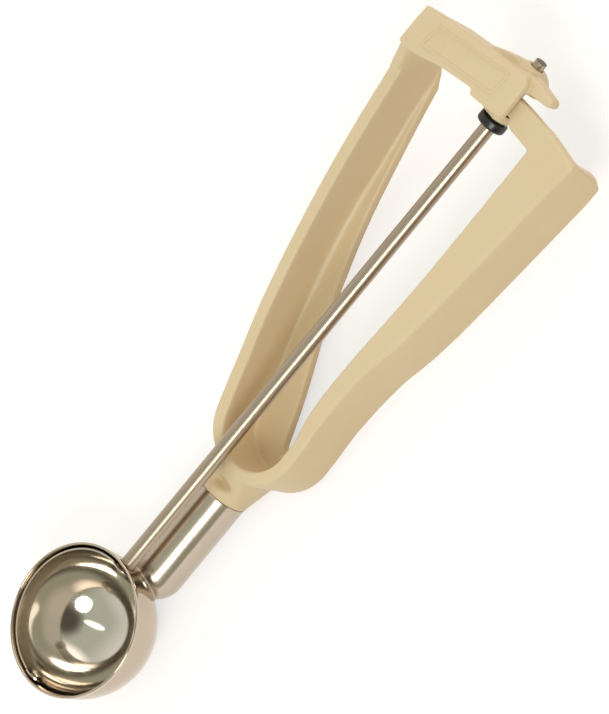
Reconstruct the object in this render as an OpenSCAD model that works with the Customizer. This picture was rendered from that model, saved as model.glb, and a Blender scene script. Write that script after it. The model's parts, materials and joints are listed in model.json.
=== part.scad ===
// Squeeze-handle ice cream scoop. A moulded spring handle moves a rack, which turns a pinion
// and a long rod, and the rod sweeps a thin blade round the inside of a hemispherical bowl.
//
// Construction frame: X runs along the rod from the bowl to the head, Z is the way the bowl
// opens, and the centre of the bowl is 0, 0, 0, on the axis of the rod. The placed part has its
// origin at the middle of its box, on its lowest level.

/* [Bowl] */
// Outer radius of the bowl
bowl_r = 21.7; // [18:0.1:27]
// Thickness of the bowl's sheet
bowl_wall = 0.7; // [0.5:0.1:1.2]
// Height of the rim above the rod axis
rim_rise = 3.3; // [3:0.1:5]
// How far the rim flares out past the bowl
rim_flare = 0.4; // [0.2:0.1:1]

/* [Scraper blade] */
// Gap between the blade and the inside of the bowl
blade_gap = 0.3; // [0.2:0.05:0.5]
// Thickness of the blade
blade_thick = 0.5; // [0.4:0.1:0.8]
// Width of the blade
blade_w = 5.2; // [4:0.2:5.6]
// Radius of the round lug at each end of the blade
lug_r = 3.6; // [3:0.1:4.5]
// Angle that the blade sweeps, from one side of the rim to the other
blade_sweep = 160; // [120:5:160]
// Diameter of the pivot rivet at the blade's far end
rivet_d = 2.4; // [2:0.1:3]

/* [Rod] */
// Diameter of the drive rod
rod_d = 4.5; // [3.8:0.1:5.4]
// Diameter of the rod's reduced tip, in the top bearing
tip_d = 3.6; // [3:0.1:3.7]
// Diameter of the rod's reduced nose, in the blade's lug
nose_d = 3; // [2.4:0.1:3.4]
// Radial running clearance of every turning joint
run_gap = 0.06; // [0.03:0.01:0.1]

/* [Stem] */
// Outer diameter of the stem tube
stem_d = 16; // [13:0.1:19.5]
// Wall of the stem tube
stem_wall = 1; // [0.8:0.1:1.5]
// Distance of the stem's axis below the rod axis
stem_drop = 13.4; // [13:0.1:15]
// Distance from the centre of the bowl to the handle end of the stem tube
stem_end = 52; // [46:0.5:54]

/* [Handle] */
// Length from the root of the handle to the face of the head
lever_len = 127.7; // [106:0.1:154]
// Depth of the levers from front to back
lever_depth = 17; // [14:0.5:20.5]
// Wall of the handle
handle_wall = 4.2; // [3.5:0.1:5.1]
// Thickness of each lever's flange
flange = 3; // [2.4:0.1:3.4]
// Inner radius of the bend between the levers
bend_r = 12.5; // [11.5:0.1:13]
// Width across the levers at the head
span = 71; // [68:0.5:74]
// Clearance at the flexing line of the squeeze lever
flex_gap = 0.3; // [0.2:0.05:0.5]

/* [Rack and pinion] */
// Tooth module
tooth_module = 0.76; // [0.7:0.02:0.8]
// Length of the pinion
pinion_len = 5; // [4.6:0.1:5.2]
// Diameter of the pinion's cross pin
pin_d = 1.2; // [1:0.1:1.6]

/* [Head] */
// Height of the head's front face above the rod axis
head_front = 10.2; // [9.9:0.1:11.5]
// Thickness of the head's front plate
head_plate = 3; // [2.5:0.1:3.2]
// Radius of the domed top bearing
dome_r = 7.5; // [7:0.1:8]
// Diameter of the black bush's flange
bush_d = 8.9; // [8.4:0.1:9.6]
// Thickness of the black bush's flange
bush_flange = 2.2; // [1.8:0.1:2.6]

/* [Hidden] */
$fn = 96;
eps = 0.01;
far = 60;                           // more than any cut needs

steel = [0.78, 0.76, 0.73];
plastic = [0.87, 0.79, 0.62];
black = [0.06, 0.06, 0.06];

// bowl, blade and the ends that meet there
bowl_in = bowl_r - bowl_wall;
rim_r = bowl_r + rim_flare;
blade_out = bowl_in - blade_gap;
blade_in = blade_out - blade_thick;
fixed_fit = 0.03;                   // radial gap between pieces that don't turn on each other
button_h = 0.8;
stem_r = stem_d / 2;
stem_in = stem_r - stem_wall;
stem_start = bowl_r + 0.8;          // centre of the stem's rounded end
spigot_len = 16;

// handle: its plan is drawn in X and Y on its front face, which rises towards the head
root_x = 62;
root_z = -3;
head_x = root_x + lever_len;        // face of the head, where the bush's flange bears
bend_c = [77, -3];
bend_out = bend_r + handle_wall;
bend_leave = 108;                   // angle at which the bend runs into the fixed lever
flex_angle = 260;                   // angle of the flexing line round the bend
function polar(c, r, a) = c + r * [cos(a), sin(a)];
flex_c = polar(bend_c, bend_r + handle_wall / 2, flex_angle);
side_y = span / 2;
top_x = head_x - 3.7;               // where the fixed lever runs under the head
lever_top = head_x + 9.3;           // the head's corner over the fixed lever
neck_r = stem_r + 0.2;
neck_flush = 5;                     // length of the neck that carries on the line of the stem
head_proud = 0.2;                   // how far the head's sides stand out past the fixed lever
neck_front = 9;                     // depth over which the neck widens into the bend
neck_step = 0.15;
neck_deep = [[-14, 5.4], [-16.2, 5.4], [-18.6, 3.2], [-18.6, -3.2], [-16.2, -5.4], [-14, -5.4]];

// rack and pinion
teeth = 10;
pitch_r = teeth * tooth_module / 2;
tip_r = pitch_r + tooth_module;
root_r = pitch_r - 1.15 * tooth_module;
rack_tip = pitch_r - tooth_module;
rack_base = pitch_r + 1.15 * tooth_module;
pinion_x = head_x + 4.9;
pinion_mid = pinion_x + pinion_len / 2;
pin_len = 2 * root_r - 0.5;
ratio = (pinion_mid - flex_c.x) / pitch_r;      // turn of the rod for one turn of the lever
tooth_step = 360 / teeth / ratio;
rack_first = -ceil(blade_sweep * teeth / 360) - 1;
rack_last = 1;

// the arm follows arcs about the flexing line: inner edge at its root, inner and outer edges
function about_flex(x, y) = norm([x, y] - flex_c);
arm_t = 1.7;
arm_lip = 2.4;                      // depth of the lip that closes the ends of the rack's teeth
handle_tilt = atan((rack_base + arm_t - root_z) / (pinion_x - root_x));
handle_back = lever_depth * cos(handle_tilt) - root_z
    + (root_x - bend_c.x + bend_out) * sin(handle_tilt);
arm_corner = [head_x + 3.5, -19];
arm_root_r = about_flex(arm_corner.x, arm_corner.y);
arm_in_r = about_flex(pinion_x - 0.1, 0);
arm_lip_r = about_flex(pinion_x + pinion_len + 0.5, 0);
arm_out_r = about_flex(head_x + 11.35, 0);
arm_end_y = 4;
arm_step_y = -9.8;
arm_end = asin((arm_end_y - flex_c.y) / arm_out_r);
arm_step = asin((arm_step_y - flex_c.y) / arm_root_r);
arm_base = -1;                      // angles of the arm's foot, and of its tongue in the flange
arm_root = -2.2;
grip_end = asin((side_y + flex_c.y) / arm_out_r);

// head: its front plate slants across the rod, as the arm's arc does
plate_z = head_front - head_plate;
bar_z = 1;                          // back of the bar behind the plate
bar_gap = 1.1;
boss_r = 4.6;
boss_len = 3.5;
boss_flat = root_z + (head_x + 2 - root_x) * tan(handle_tilt) - arm_t - 0.3;
bar_r = arm_out_r + bar_gap;        // radius, about the flexing line, of the bar's edge
shoulder_x = flex_c.x + sqrt(pow(bar_r, 2) - pow(rod_d / 2 - flex_c.y, 2)) - fixed_fit;
cap_x = head_x + 12.7;
dome_x = head_x + 12;
rod_reach = head_x + 21.1;
sleeve_r = 3.2;
gusset_top = 5;
head_plan = [[lever_top, side_y], [head_x - 3.9, side_y], [head_x - 4.1, side_y - 4.2],
    [head_x + 0.6, 18], [head_x + 3.5, 6.2], [head_x + 2, 5.2], [head_x + 3.1, -2.1],
    [head_x + 4.9, -6.3],
    [head_x + 18.6, -6.3]];
gusset_plan = [[head_x + 8, 16.5], [head_x + 14, 14.5], [head_x + 16.4, 9.5], [head_x + 18.1, 5],
    [head_x + 18.3, 2.5], [head_x + 14, 2.5]];
finger_back = 3.4;
finger_tip = [head_x + 17.5, -15];
finger_r = 1.6;
finger_plan = concat([[head_x + 13.4, -2], [head_x + 14.3, -7]],
    [for (a = [195:15:375]) polar(finger_tip, finger_r, a)],
    [[head_x + 19.4, -8], [head_x + 18, -2]]);

// place of the construction frame's origin in the finished part
datum = [(rim_r - rod_reach) / 2, 0, max(bowl_r, stem_drop + neck_r, handle_back)];

// points of an arc from a to b that bulges by sag to the left of the way from a to b
function arc(a, b, sag, n = 14) =
    let (half = norm(b - a) / 2, r = (half * half + sag * sag) / (2 * sag),
        d = (b - a) / (2 * half), m = (a + b) / 2 + [d.y, -d.x] * (r - sag),
        a0 = atan2(a.y - m.y, a.x - m.x), turn = 2 * asin(half / r))
    [for (i = [0:n]) polar(m, r, a0 - turn * i / n)];

// points of a circle about c, from angle a to angle b
function ring(c, r, a, b, n = 20) = [for (i = [0:n]) polar(c, r, a + (b - a) * i / n)];

// a smooth line through every point of a list
function smooth(p, n = 4) = concat([for (i = [0:len(p) - 2], j = [0:n - 1])
    let (t = j / n, a = p[max(i - 1, 0)], b = p[i], c = p[i + 1], d = p[min(i + 2, len(p) - 1)])
    b + 0.5 * t * (c - a + t * (2 * a - 5 * b + 4 * c - d + t * (3 * b - a - 3 * c + d)))],
    [p[len(p) - 1]]);

function flip(p) = [for (i = [len(p) - 1:-1:0]) p[i]];
function shift(p, v) = [for (q = p) q + v];

belly = bend_c.x + 16;

// outlines of the fixed lever, which carries on round the bend to its knuckle, and of its back web
fixed_y = side_y - head_proud;
fixed_out = arc(polar(bend_c, bend_out, bend_leave), [top_x, fixed_y], 3.7);
fixed_in = arc(polar(bend_c, bend_r, bend_leave), [top_x, fixed_y - handle_wall], 3.7);
web_edge = smooth([[bend_c.x - 4, bend_c.y - 1], [bend_c.x + 7, bend_c.y + 3.4], [belly, 4.5],
    [belly + 10, 9.3], [belly + 23, 14], [belly + 38, 19.3], [head_x - 41, 24], [head_x - 15, 29.1],
    [top_x, fixed_y - handle_wall - 0.7]], 3);
frame_plan = concat(fixed_out, [[lever_top - 1, fixed_y], [lever_top - 1, fixed_y - handle_wall]],
    flip(fixed_in), ring(bend_c, bend_r, bend_leave, flex_angle, 40),
    ring(flex_c, handle_wall / 2, flex_angle + 180, flex_angle, 16),
    ring(bend_c, bend_out, flex_angle, bend_leave, 40));

// outlines of the squeeze lever
grip_out = smooth([polar(bend_c, bend_out, flex_angle), [bend_c.x + 5, bend_c.y - bend_out - 0.1],
    [belly, bend_c.y - bend_out + 0.1], [belly + 18, -21.4], [head_x - 56, -26.4],
    polar(flex_c, arm_out_r, -grip_end)]);
grip_in = smooth([polar(bend_c, bend_r, flex_angle), [bend_c.x + 4, bend_c.y - bend_r - 0.2],
    [belly, -13.9], [belly + 18, -14.3], [head_x - 45, -17], arm_corner]);

module placed() { translate(datum) children(); }

module rod_cylinder(r, x0, x1) { translate([x0, 0, 0]) rotate([0, 90, 0]) cylinder(r = r, h = x1 - x0); }

module in_handle() {
    translate([root_x, 0, root_z]) rotate([0, -handle_tilt, 0]) translate([-root_x, 0, 0]) children();
}

// a plate of the handle, between two depths below its front face
module slab(top, bottom) { translate([0, 0, -bottom]) linear_extrude(bottom - top) children(); }

// a cut seen from the side: its outline is drawn as X and Z, and it runs in Y from y0 to y1
module side_cut(y0, y1) { translate([0, y1, 0]) rotate([90, 0, 0]) linear_extrude(y1 - y0) children(); }

module bowl() {
    color(steel) placed() difference() {
        rotate_extrude() {
            intersection() {
                difference() {
                    circle(bowl_r);
                    circle(bowl_in);
                }
                translate([0, -bowl_r - 1]) square([bowl_r + 1, bowl_r + 1]);
            }
            polygon([[bowl_in, 0], [bowl_r, 0], [bowl_r, rim_rise - 1.4],
                [rim_r, rim_rise - 0.6], [rim_r, rim_rise - 0.2], [rim_r - 0.2, rim_rise],
                [rim_r - 0.5, rim_rise], [bowl_in, rim_rise - 1.2]]);
        }
        rod_cylinder(rod_d / 2 + run_gap, 0, far);
        rod_cylinder(rivet_d / 2 + fixed_fit, -far, 0);
    }
}

module stem_tube() {
    color(steel) placed() difference() {
        translate([stem_start, 0, -stem_drop]) rotate([0, 90, 0]) rotate_extrude() difference() {
            stem_profile(stem_r);
            stem_profile(stem_in);
            translate([0, stem_end - stem_start]) square([stem_r + 1, far]);
        }
        rotate([0, -90, 0]) sphere(bowl_r);
    }
}

// half section of a round-ended bar, along the stem's axis from the middle of its rounded end
module stem_profile(r) {
    intersection() {
        union() {
            circle(r);
            square([r, far]);
        }
        translate([0, -r - 1]) square([r + 1, far]);
    }
}

module scraper_blade() {
    color(steel) placed() difference() {
        intersection() {
            difference() {
                sphere(blade_out);
                sphere(blade_in);
            }
            union() {
                translate([-far / 2, 0, -blade_w / 2]) cube([far, far, blade_w]);
                rod_cylinder(lug_r, -far / 2, far / 2);
            }
        }
        rod_cylinder(nose_d / 2 + fixed_fit, 0, far);
        rod_cylinder(rivet_d / 2 + run_gap, -far, 0);
    }
}

module blade_pivot_rivet() {
    color(steel) placed() {
        rod_cylinder(rivet_d / 2, -bowl_r - eps, -blade_in + 0.5);
        rod_cylinder(rivet_d * 0.75, -bowl_r - 0.35, -bowl_r);
        rod_cylinder(rivet_d * 0.75, -blade_in + 0.25, -blade_in + 0.25 + button_h);
    }
}

module drive_rod() {
    chamfer = 0.4;
    color(steel) placed() difference() {
        union() {
            rod_cylinder(nose_d * 0.75, blade_in - 0.25 - button_h, blade_in - 0.25);
            rod_cylinder(nose_d / 2, blade_in - 0.5, blade_out + 0.2);
            rod_cylinder(rod_d / 2, blade_out + 0.1, shoulder_x);
            rod_cylinder(tip_d / 2, shoulder_x - 0.1, rod_reach - chamfer);
            translate([rod_reach - chamfer - eps, 0, 0]) rotate([0, 90, 0])
                cylinder(r1 = tip_d / 2, r2 = tip_d / 2 - chamfer, h = chamfer + eps);
        }
        pin_hole();
    }
}

module pin_hole() {
    translate([pinion_mid, 0, -far]) cylinder(d = pin_d + 2 * fixed_fit, h = 2 * far);
}

module rod_bush() {
    color(black) placed() difference() {
        union() {
            rod_cylinder(bush_d / 2, head_x - bush_flange, head_x);
            rod_cylinder(sleeve_r, head_x - eps, head_x + boss_len);
        }
        rod_cylinder(rod_d / 2 + run_gap, 0, far * 4);
    }
}

module pinion() {
    profile = [[-18, root_r], [-11.5, root_r], [-7.5, pitch_r], [-3.5, tip_r], [3.5, tip_r],
        [7.5, pitch_r], [11.5, root_r]];
    color(steel) placed() difference() {
        translate([pinion_x, 0, 0]) rotate([0, 90, 0]) linear_extrude(pinion_len)
            polygon([for (i = [0:teeth - 1], p = profile) polar([0, 0], p[1], 90 + i * 360 / teeth + p[0])]);
        rod_cylinder(rod_d / 2 + fixed_fit, 0, far * 4);
        pin_hole();
    }
}

module pinion_pin() {
    color(steel) placed() translate([pinion_mid, 0, -pin_len / 2]) cylinder(d = pin_d, h = pin_len);
}

module handle_frame() {
    color(plastic) placed() difference() {
        union() {
            fixed_lever();
            neck();
            head();
        }
        translate([head_x + 5.3, 0, 0]) rotate([90, 0, 90]) linear_extrude(far)
            polygon([[24, -far], [24, bar_z - eps], [30.4, 6.4], [side_y + 1, 9.6], [far, 9.6], [far, -far]]);
        rod_cylinder(tip_d / 2 + run_gap, cap_x - 1, rod_reach + 1);
        rod_cylinder(sleeve_r + fixed_fit, head_x - 1, head_x + boss_len + 1);
    }
}

// the fixed lever and the bend, with the web along the lever's back
module fixed_lever() {
    difference() {
        in_handle() {
            slab(0, lever_depth) polygon(frame_plan);
            slab(lever_depth - flange, lever_depth)
                polygon(concat(web_edge, flip(fixed_out), ring(bend_c, bend_out - 1, bend_leave, 215)));
        }
        side_cut(9, far) polygon([[head_x - 13, -far], [head_x - 13, -12.4], [head_x - 6, -9],
            [head_x - 1, -3.5], [head_x + 2, bar_z], [head_x + far, bar_z], [head_x + far, -far]]);
    }
}

// the neck under the bend, with the spigot that fills the end of the stem
module neck() {
    notch = [stem_end + 5, -3.2];
    notch_z = stem_r - stem_drop - 2.2;
    notch_r = 1.4;
    notch_half = 2;
    difference() {
        hull() {
            translate([0, 0, -stem_drop])
                rod_cylinder(neck_r - neck_step, stem_end + 0.5, stem_end + neck_flush, $fn = 48);
            in_handle() slab(1, lever_depth - 0.3) polygon(shift(neck_deep, bend_c));
            in_handle() slab(0.3, neck_front) polygon(concat(ring(bend_c, bend_out - 0.3, 158, 205, 8),
                ring(bend_c, bend_r + 1.3, 205, 158, 8)));
        }
        for (side = [-1, 1])
            translate([notch.x, notch.y + side * notch_half, notch_z]) cylinder(r = notch_r, h = far);
        translate([notch.x - notch_r, notch.y - notch_half, notch_z])
            cube([2 * notch_r, 2 * notch_half, far]);
    }
    translate([0, 0, -stem_drop]) {
        rod_cylinder(neck_r, stem_end, stem_end + 2);
        rod_cylinder(stem_in - fixed_fit, stem_end - spigot_len, stem_end + 1);
    }
}

module head() {
    translate([0, 0, plate_z]) linear_extrude(head_plate) polygon(head_plan);
    translate([0, 0, bar_z]) linear_extrude(plate_z - bar_z + eps) {
        difference() {
            polygon(head_plan);
            translate(flex_c) circle(bar_r);
        }
        intersection() {
            polygon(head_plan);
            translate([head_x - far / 2, 17.6]) square(far);
        }
    }
    translate([cap_x, 0, 0]) rotate([0, 90, 0]) rotate_extrude() intersection() {
        translate([0, dome_x - cap_x]) circle(dome_r);
        square(far);
    }
    translate([0, 0, bar_z]) linear_extrude(gusset_top - bar_z) polygon(gusset_plan);
    translate([0, 0, finger_back]) linear_extrude(plate_z - finger_back + 0.2) polygon(finger_plan);
    difference() {
        union() {
            rod_cylinder(boss_r, head_x, head_x + boss_len);
            translate([head_x + 0.8, 2.2, 0]) cube([2.4, 2.6, plate_z + eps]);
        }
        translate([0, 0, boss_flat]) linear_extrude(far) difference() {
            translate([flex_c.x, flex_c.y - far * 3]) square([far * 3, far * 3 - flex_c.y + 1.6]);
            translate(flex_c) circle(arm_root_r - 0.6);
        }
    }
}

module squeeze_lever() {
    color(plastic) placed() {
        difference() {
            in_handle() difference() {
                union() {
                    slab(0, lever_depth)
                        polygon(concat(grip_out, shift(flip(grip_out), [0, handle_wall])));
                    slab(0, flange) polygon(concat(grip_in, ring(flex_c, arm_out_r, arm_base, -grip_end),
                        flip(grip_out)));
                    slab(0, arm_t) {
                        arm_band(arm_in_r, arm_out_r, arm_end);
                        arm_band(arm_root_r, (arm_in_r + arm_out_r) / 2, arm_step);
                    }
                    slab(0, arm_lip) arm_band(arm_lip_r, arm_out_r, arm_end);
                }
                translate([flex_c.x, flex_c.y, -far]) cylinder(d = handle_wall + 2 * flex_gap, h = far * 2);
            }
            side_cut(-far, 0) polygon([[head_x + 11.8, 4], [head_x + 10.3, -3.7], [head_x + 9.1, -6.6],
                [head_x + 7, -9.6], [head_x + 7, -far], [head_x + far, -far], [head_x + far, 4]]);
        }
        for (i = [rack_first:rack_last]) rack_tooth(i * tooth_step);
    }
}

// a band of the arm between two radii, from its foot round to an angle, with a tongue in the flange
module arm_band(r0, r1, a) {
    polygon(concat(ring(flex_c, r1, arm_base, a), ring(flex_c, r0, a, arm_base),
        [polar(flex_c, (r0 + r1) / 2, arm_root)]));
}

// a tooth of the rack, parallel to the rod at the place where it meets the pinion
module rack_tooth(turn) {
    root_z_in = rack_base + 0.8;
    tip_w = 0.5;
    root_w = 1.25;
    translate(flex_c) rotate(turn) translate(-flex_c) translate([pinion_x + 0.2, 0, 0])
        rotate([90, 0, 90]) linear_extrude(pinion_len)
            polygon([[-tip_w / 2, rack_tip], [tip_w / 2, rack_tip], [root_w / 2, root_z_in],
                [-root_w / 2, root_z_in]]);
}

bowl();
stem_tube();
scraper_blade();
blade_pivot_rivet();
drive_rod();
rod_bush();
pinion();
pinion_pin();
handle_frame();
squeeze_lever();
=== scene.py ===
# Looks of the squeeze-handle ice cream scoop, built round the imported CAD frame.
# Shapes are worked out in millimetres in the row frame and made into meshes in metres.

import json
import math

import bmesh
import bpy
import numpy as np
import openvdb
from mathutils import Matrix, Vector

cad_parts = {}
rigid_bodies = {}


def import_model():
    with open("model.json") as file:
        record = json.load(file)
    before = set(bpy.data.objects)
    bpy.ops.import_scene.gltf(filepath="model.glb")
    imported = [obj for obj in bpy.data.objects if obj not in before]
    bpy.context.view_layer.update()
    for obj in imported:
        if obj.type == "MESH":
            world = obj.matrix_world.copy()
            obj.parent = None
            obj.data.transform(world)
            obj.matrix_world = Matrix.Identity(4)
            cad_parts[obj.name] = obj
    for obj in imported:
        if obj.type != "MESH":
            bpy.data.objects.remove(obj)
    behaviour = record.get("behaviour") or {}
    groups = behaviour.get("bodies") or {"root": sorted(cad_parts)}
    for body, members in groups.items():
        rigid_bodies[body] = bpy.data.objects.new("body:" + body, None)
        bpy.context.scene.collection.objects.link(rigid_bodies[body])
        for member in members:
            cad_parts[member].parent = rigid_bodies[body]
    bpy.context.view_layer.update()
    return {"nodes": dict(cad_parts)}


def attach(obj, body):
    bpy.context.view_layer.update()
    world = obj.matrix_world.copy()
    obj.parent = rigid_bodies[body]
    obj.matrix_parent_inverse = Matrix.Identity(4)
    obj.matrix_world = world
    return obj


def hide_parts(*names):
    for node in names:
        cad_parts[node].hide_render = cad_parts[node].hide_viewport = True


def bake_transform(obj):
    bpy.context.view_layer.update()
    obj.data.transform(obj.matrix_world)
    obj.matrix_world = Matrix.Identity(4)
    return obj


for old in list(bpy.data.objects):
    bpy.data.objects.remove(old)
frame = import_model()

MM = 0.001

# places and sizes from the CAD, mm: the bowl's centre, the heights of the rod and of the stem, and the head
BOWL = np.array([-94.35, 0.0, 21.7])
AXIS_Z = 21.7
STEM_Z = 8.3
HEAD_X = 95.35
PLATE_TOP = 31.9
# the handle: where its plan starts and how far it tips up, the axis and the radii of its bend in plan, and
# the axis about which the squeeze lever turns
ROOT = np.array([-32.35, 0.0, 18.7])
TILT = math.radians(4.0437)
BEND = np.array([-17.35, -3.0])
BEND_IN = 12.5
BEND_OUT = 16.7
LEVER_DEPTH = 17.0
FLEX = np.array([-19.885, -17.378])
# the pinion, and its turns for each of the lever's
PINION_X = 100.25
PITCH_R = 3.8
MODULE = 0.76
RATIO = 32.27244


# ---------------------------------------------------------------- meshes

def linked(name, data):
    """A new object in the scene."""
    obj = bpy.data.objects.new(name, data)
    bpy.context.scene.collection.objects.link(obj)
    return obj


def new_object(name, verts, faces):
    """A smooth mesh object from points in mm."""
    mesh = bpy.data.meshes.new(name)
    mesh.from_pydata([tuple(p) for p in np.asarray(verts, float) * MM], [], faces)
    mesh.validate()
    mesh.polygons.foreach_set("use_smooth", [True] * len(mesh.polygons))
    mesh.update()
    return linked(name, mesh)


def outward(obj):
    """Turns every face of a closed mesh outwards."""
    bm = bmesh.new()
    bm.from_mesh(obj.data)
    bmesh.ops.recalc_face_normals(bm, faces=bm.faces)
    bm.to_mesh(obj.data)
    bm.free()
    return obj


def sharpen(obj, degrees):
    """Keeps edges crisp where the surface turns by more than an angle."""
    obj.data.set_sharp_from_angle(angle=math.radians(degrees))
    return obj


def rounded(points, radii, steps=6):
    """A closed outline with its corners rounded."""
    out = []
    n = len(points)
    for i in range(n):
        p, a, b = (np.array(points[j % n], float) for j in (i, i - 1, i + 1))
        r = radii[i]
        if r <= 0:
            out.append(p)
            continue
        u, v = a - p, b - p
        lu, lv = np.linalg.norm(u), np.linalg.norm(v)
        u, v = u / lu, v / lv
        half = math.acos(max(-1, min(1, float(u @ v)))) / 2
        cut = min(r / math.tan(half), 0.49 * lu, 0.49 * lv)
        r = cut * math.tan(half)
        centre = p + (u + v) / np.linalg.norm(u + v) * r / math.sin(half)
        s, e = p + u * cut - centre, p + v * cut - centre
        turn = math.acos(max(-1, min(1, float(s @ e) / r / r)))
        for k in range(steps + 1):
            t = k / steps
            out.append(centre + (math.sin((1 - t) * turn) * s + math.sin(t * turn) * e) / math.sin(turn))
    return out


def lathe(name, profile, place, segments, closed=True):
    """A turned piece, in mm. profile lists (radius, height); place maps (x, y, height) to the row frame."""
    verts, faces, rings = [], [], []
    for r, h in profile:
        if r < 1e-6:
            rings.append([len(verts)])
            verts.append(place(0, 0, h))
        else:
            start = len(verts)
            rings.append(list(range(start, start + segments)))
            for k in range(segments):
                a = 2 * math.pi * k / segments
                verts.append(place(r * math.cos(a), r * math.sin(a), h))
    pairs = list(zip(rings, rings[1:] + rings[:1])) if closed else list(zip(rings, rings[1:]))
    for a, b in pairs:
        if len(a) == 1 and len(b) == 1:
            continue
        for k in range(segments):
            m = (k + 1) % segments
            if len(a) == 1:
                faces.append((a[0], b[m], b[k]))
            elif len(b) == 1:
                faces.append((a[k], a[m], b[0]))
            else:
                faces.append((a[k], a[m], b[m], b[k]))
    return outward(new_object(name, verts, faces))


def along_x(y, z):
    """A lathe's axis along the row frame's X."""
    return lambda a, b, h: (h, y + a, z + b)


def subtract(obj, cutter):
    """Cuts one object out of another, and removes the cutter."""
    mod = obj.modifiers.new("cut", "BOOLEAN")
    mod.operation = "DIFFERENCE"
    mod.solver = "EXACT"
    mod.object = cutter
    bpy.context.view_layer.update()
    mesh = bpy.data.meshes.new_from_object(obj.evaluated_get(bpy.context.evaluated_depsgraph_get()))
    obj.modifiers.clear()
    old = obj.data
    obj.data = mesh
    mesh.name = old.name
    bpy.data.meshes.remove(old)
    bpy.data.objects.remove(cutter)


# ---------------------------------------------------------------- the moulding, as a distance field

VOXEL = 0.38
# voxels: how far from the surface a distance is known, and the room left round a field
BAND = 9
PAD = 8
FAR = VOXEL * BAND
GRID = openvdb.createLinearTransform(voxelSize=VOXEL)


class Field:
    """A sampled signed distance in mm, negative inside."""

    def __init__(self, low, shape):
        self.low = low
        self.array = np.empty(shape, np.float32)

    def axes(self):
        """The sample places along X, Y and Z, shaped to broadcast."""
        x, y, z = ((self.low[i] + np.arange(self.array.shape[i])) * VOXEL for i in range(3))
        return x[:, None, None], y[None, :, None], z[None, None, :]


def mesh_arrays(node):
    """A CAD node's points in mm and its triangles."""
    mesh = frame["nodes"][node].data
    co = np.empty(len(mesh.vertices) * 3, np.float32)
    mesh.vertices.foreach_get("co", co)
    mesh.calc_loop_triangles()
    tri = np.empty(len(mesh.loop_triangles) * 3, np.int32)
    mesh.loop_triangles.foreach_get("vertices", tri)
    return co.reshape(-1, 3) / MM, tri.reshape(-1, 3).astype(np.uint32)


def field_of(node):
    """The distance field round a CAD node."""
    points, triangles = mesh_arrays(node)
    level = openvdb.FloatGrid.createLevelSetFromPolygons(
        np.ascontiguousarray(points, np.float32), triangles=triangles, transform=GRID, halfWidth=BAND
    )
    low = np.floor(points.min(0) / VOXEL).astype(int) - PAD
    high = np.ceil(points.max(0) / VOXEL).astype(int) + PAD
    f = Field(low, tuple(high - low + 1))
    level.copyToArray(f.array, ijk=tuple(int(v) for v in low))
    return f


def kernel(sigma):
    reach = max(1, int(math.ceil(3 * sigma / VOXEL)))
    k = np.exp(-0.5 * (np.arange(-reach, reach + 1) * VOXEL / sigma) ** 2)
    return (k / k.sum()).astype(np.float32)


def blurred(array, sigma):
    """A Gaussian blur, which rounds convex and concave edges alike."""
    k = kernel(sigma)
    reach = len(k) // 2
    for axis in range(3):
        padded = np.pad(array, [(reach, reach) if i == axis else (0, 0) for i in range(3)], mode="edge")
        n = array.shape[axis]
        out = np.zeros_like(array)
        for i, w in enumerate(k):
            index = [slice(None)] * 3
            index[axis] = slice(i, i + n)
            out += w * padded[tuple(index)]
        array = out
    return array


def smoothstep(t):
    t = np.clip(t, 0, 1)
    return t * t * (3 - 2 * t)


def sample(field, array, points):
    """An array's values at points, by linear interpolation."""
    g = points / VOXEL - field.low
    i = np.clip(np.floor(g).astype(int), 0, np.array(array.shape) - 2)
    f = g - i
    total = 0
    for dx in (0, 1):
        for dy in (0, 1):
            for dz in (0, 1):
                w = (
                    (f[:, 0] if dx else 1 - f[:, 0])
                    * (f[:, 1] if dy else 1 - f[:, 1])
                    * (f[:, 2] if dz else 1 - f[:, 2])
                )
                total = total + w * array[i[:, 0] + dx, i[:, 1] + dy, i[:, 2] + dz]
    return total


def surface(field):
    """(points in mm, quads) of the field's zero surface."""
    grid = openvdb.FloatGrid(background=float(FAR))
    grid.transform = GRID
    grid.copyFromArray(np.ascontiguousarray(field.array), ijk=tuple(int(v) for v in field.low))
    points, quads = grid.convertToQuads(isovalue=0)
    return np.array(points, float), np.array(quads).astype(int)


def plan_place(x, y, depth):
    """A place on the handle's plan, at a depth below its front face, in the row frame."""
    dx = x - ROOT[0]
    return np.array([
        ROOT[0] + dx * math.cos(TILT) + depth * math.sin(TILT),
        y,
        ROOT[2] + dx * math.sin(TILT) - depth * math.cos(TILT),
    ])


def bend_frame(axes):
    """Distance from the bend's axis and the angle round it, in degrees from 0 to 360."""
    x, y, z = axes
    px = (x - ROOT[0]) * math.cos(TILT) + (z - ROOT[2]) * math.sin(TILT) + ROOT[0] - BEND[0]
    py = y - BEND[1]
    return np.hypot(px, py), np.degrees(np.arctan2(py, px)) % 360


def polygon_distance(points, x, y):
    """Signed distance from a closed outline in plan, negative inside."""
    x, y = np.broadcast_arrays(x, y)
    best = np.full(x.shape, 1e9)
    inside = np.zeros(x.shape, bool)
    for (ax, ay), (bx, by) in zip(points, points[1:] + points[:1]):
        ex, ey = bx - ax, by - ay
        t = np.clip(((x - ax) * ex + (y - ay) * ey) / (ex * ex + ey * ey), 0, 1)
        best = np.minimum(best, np.hypot(x - ax - t * ex, y - ay - t * ey))
        if abs(ey) > 1e-9:
            crosses = ((ay > y) != (by > y)) & (x < ax + ex * (y - ay) / ey)
            inside ^= crosses
    return np.where(inside, -best, best)


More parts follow.
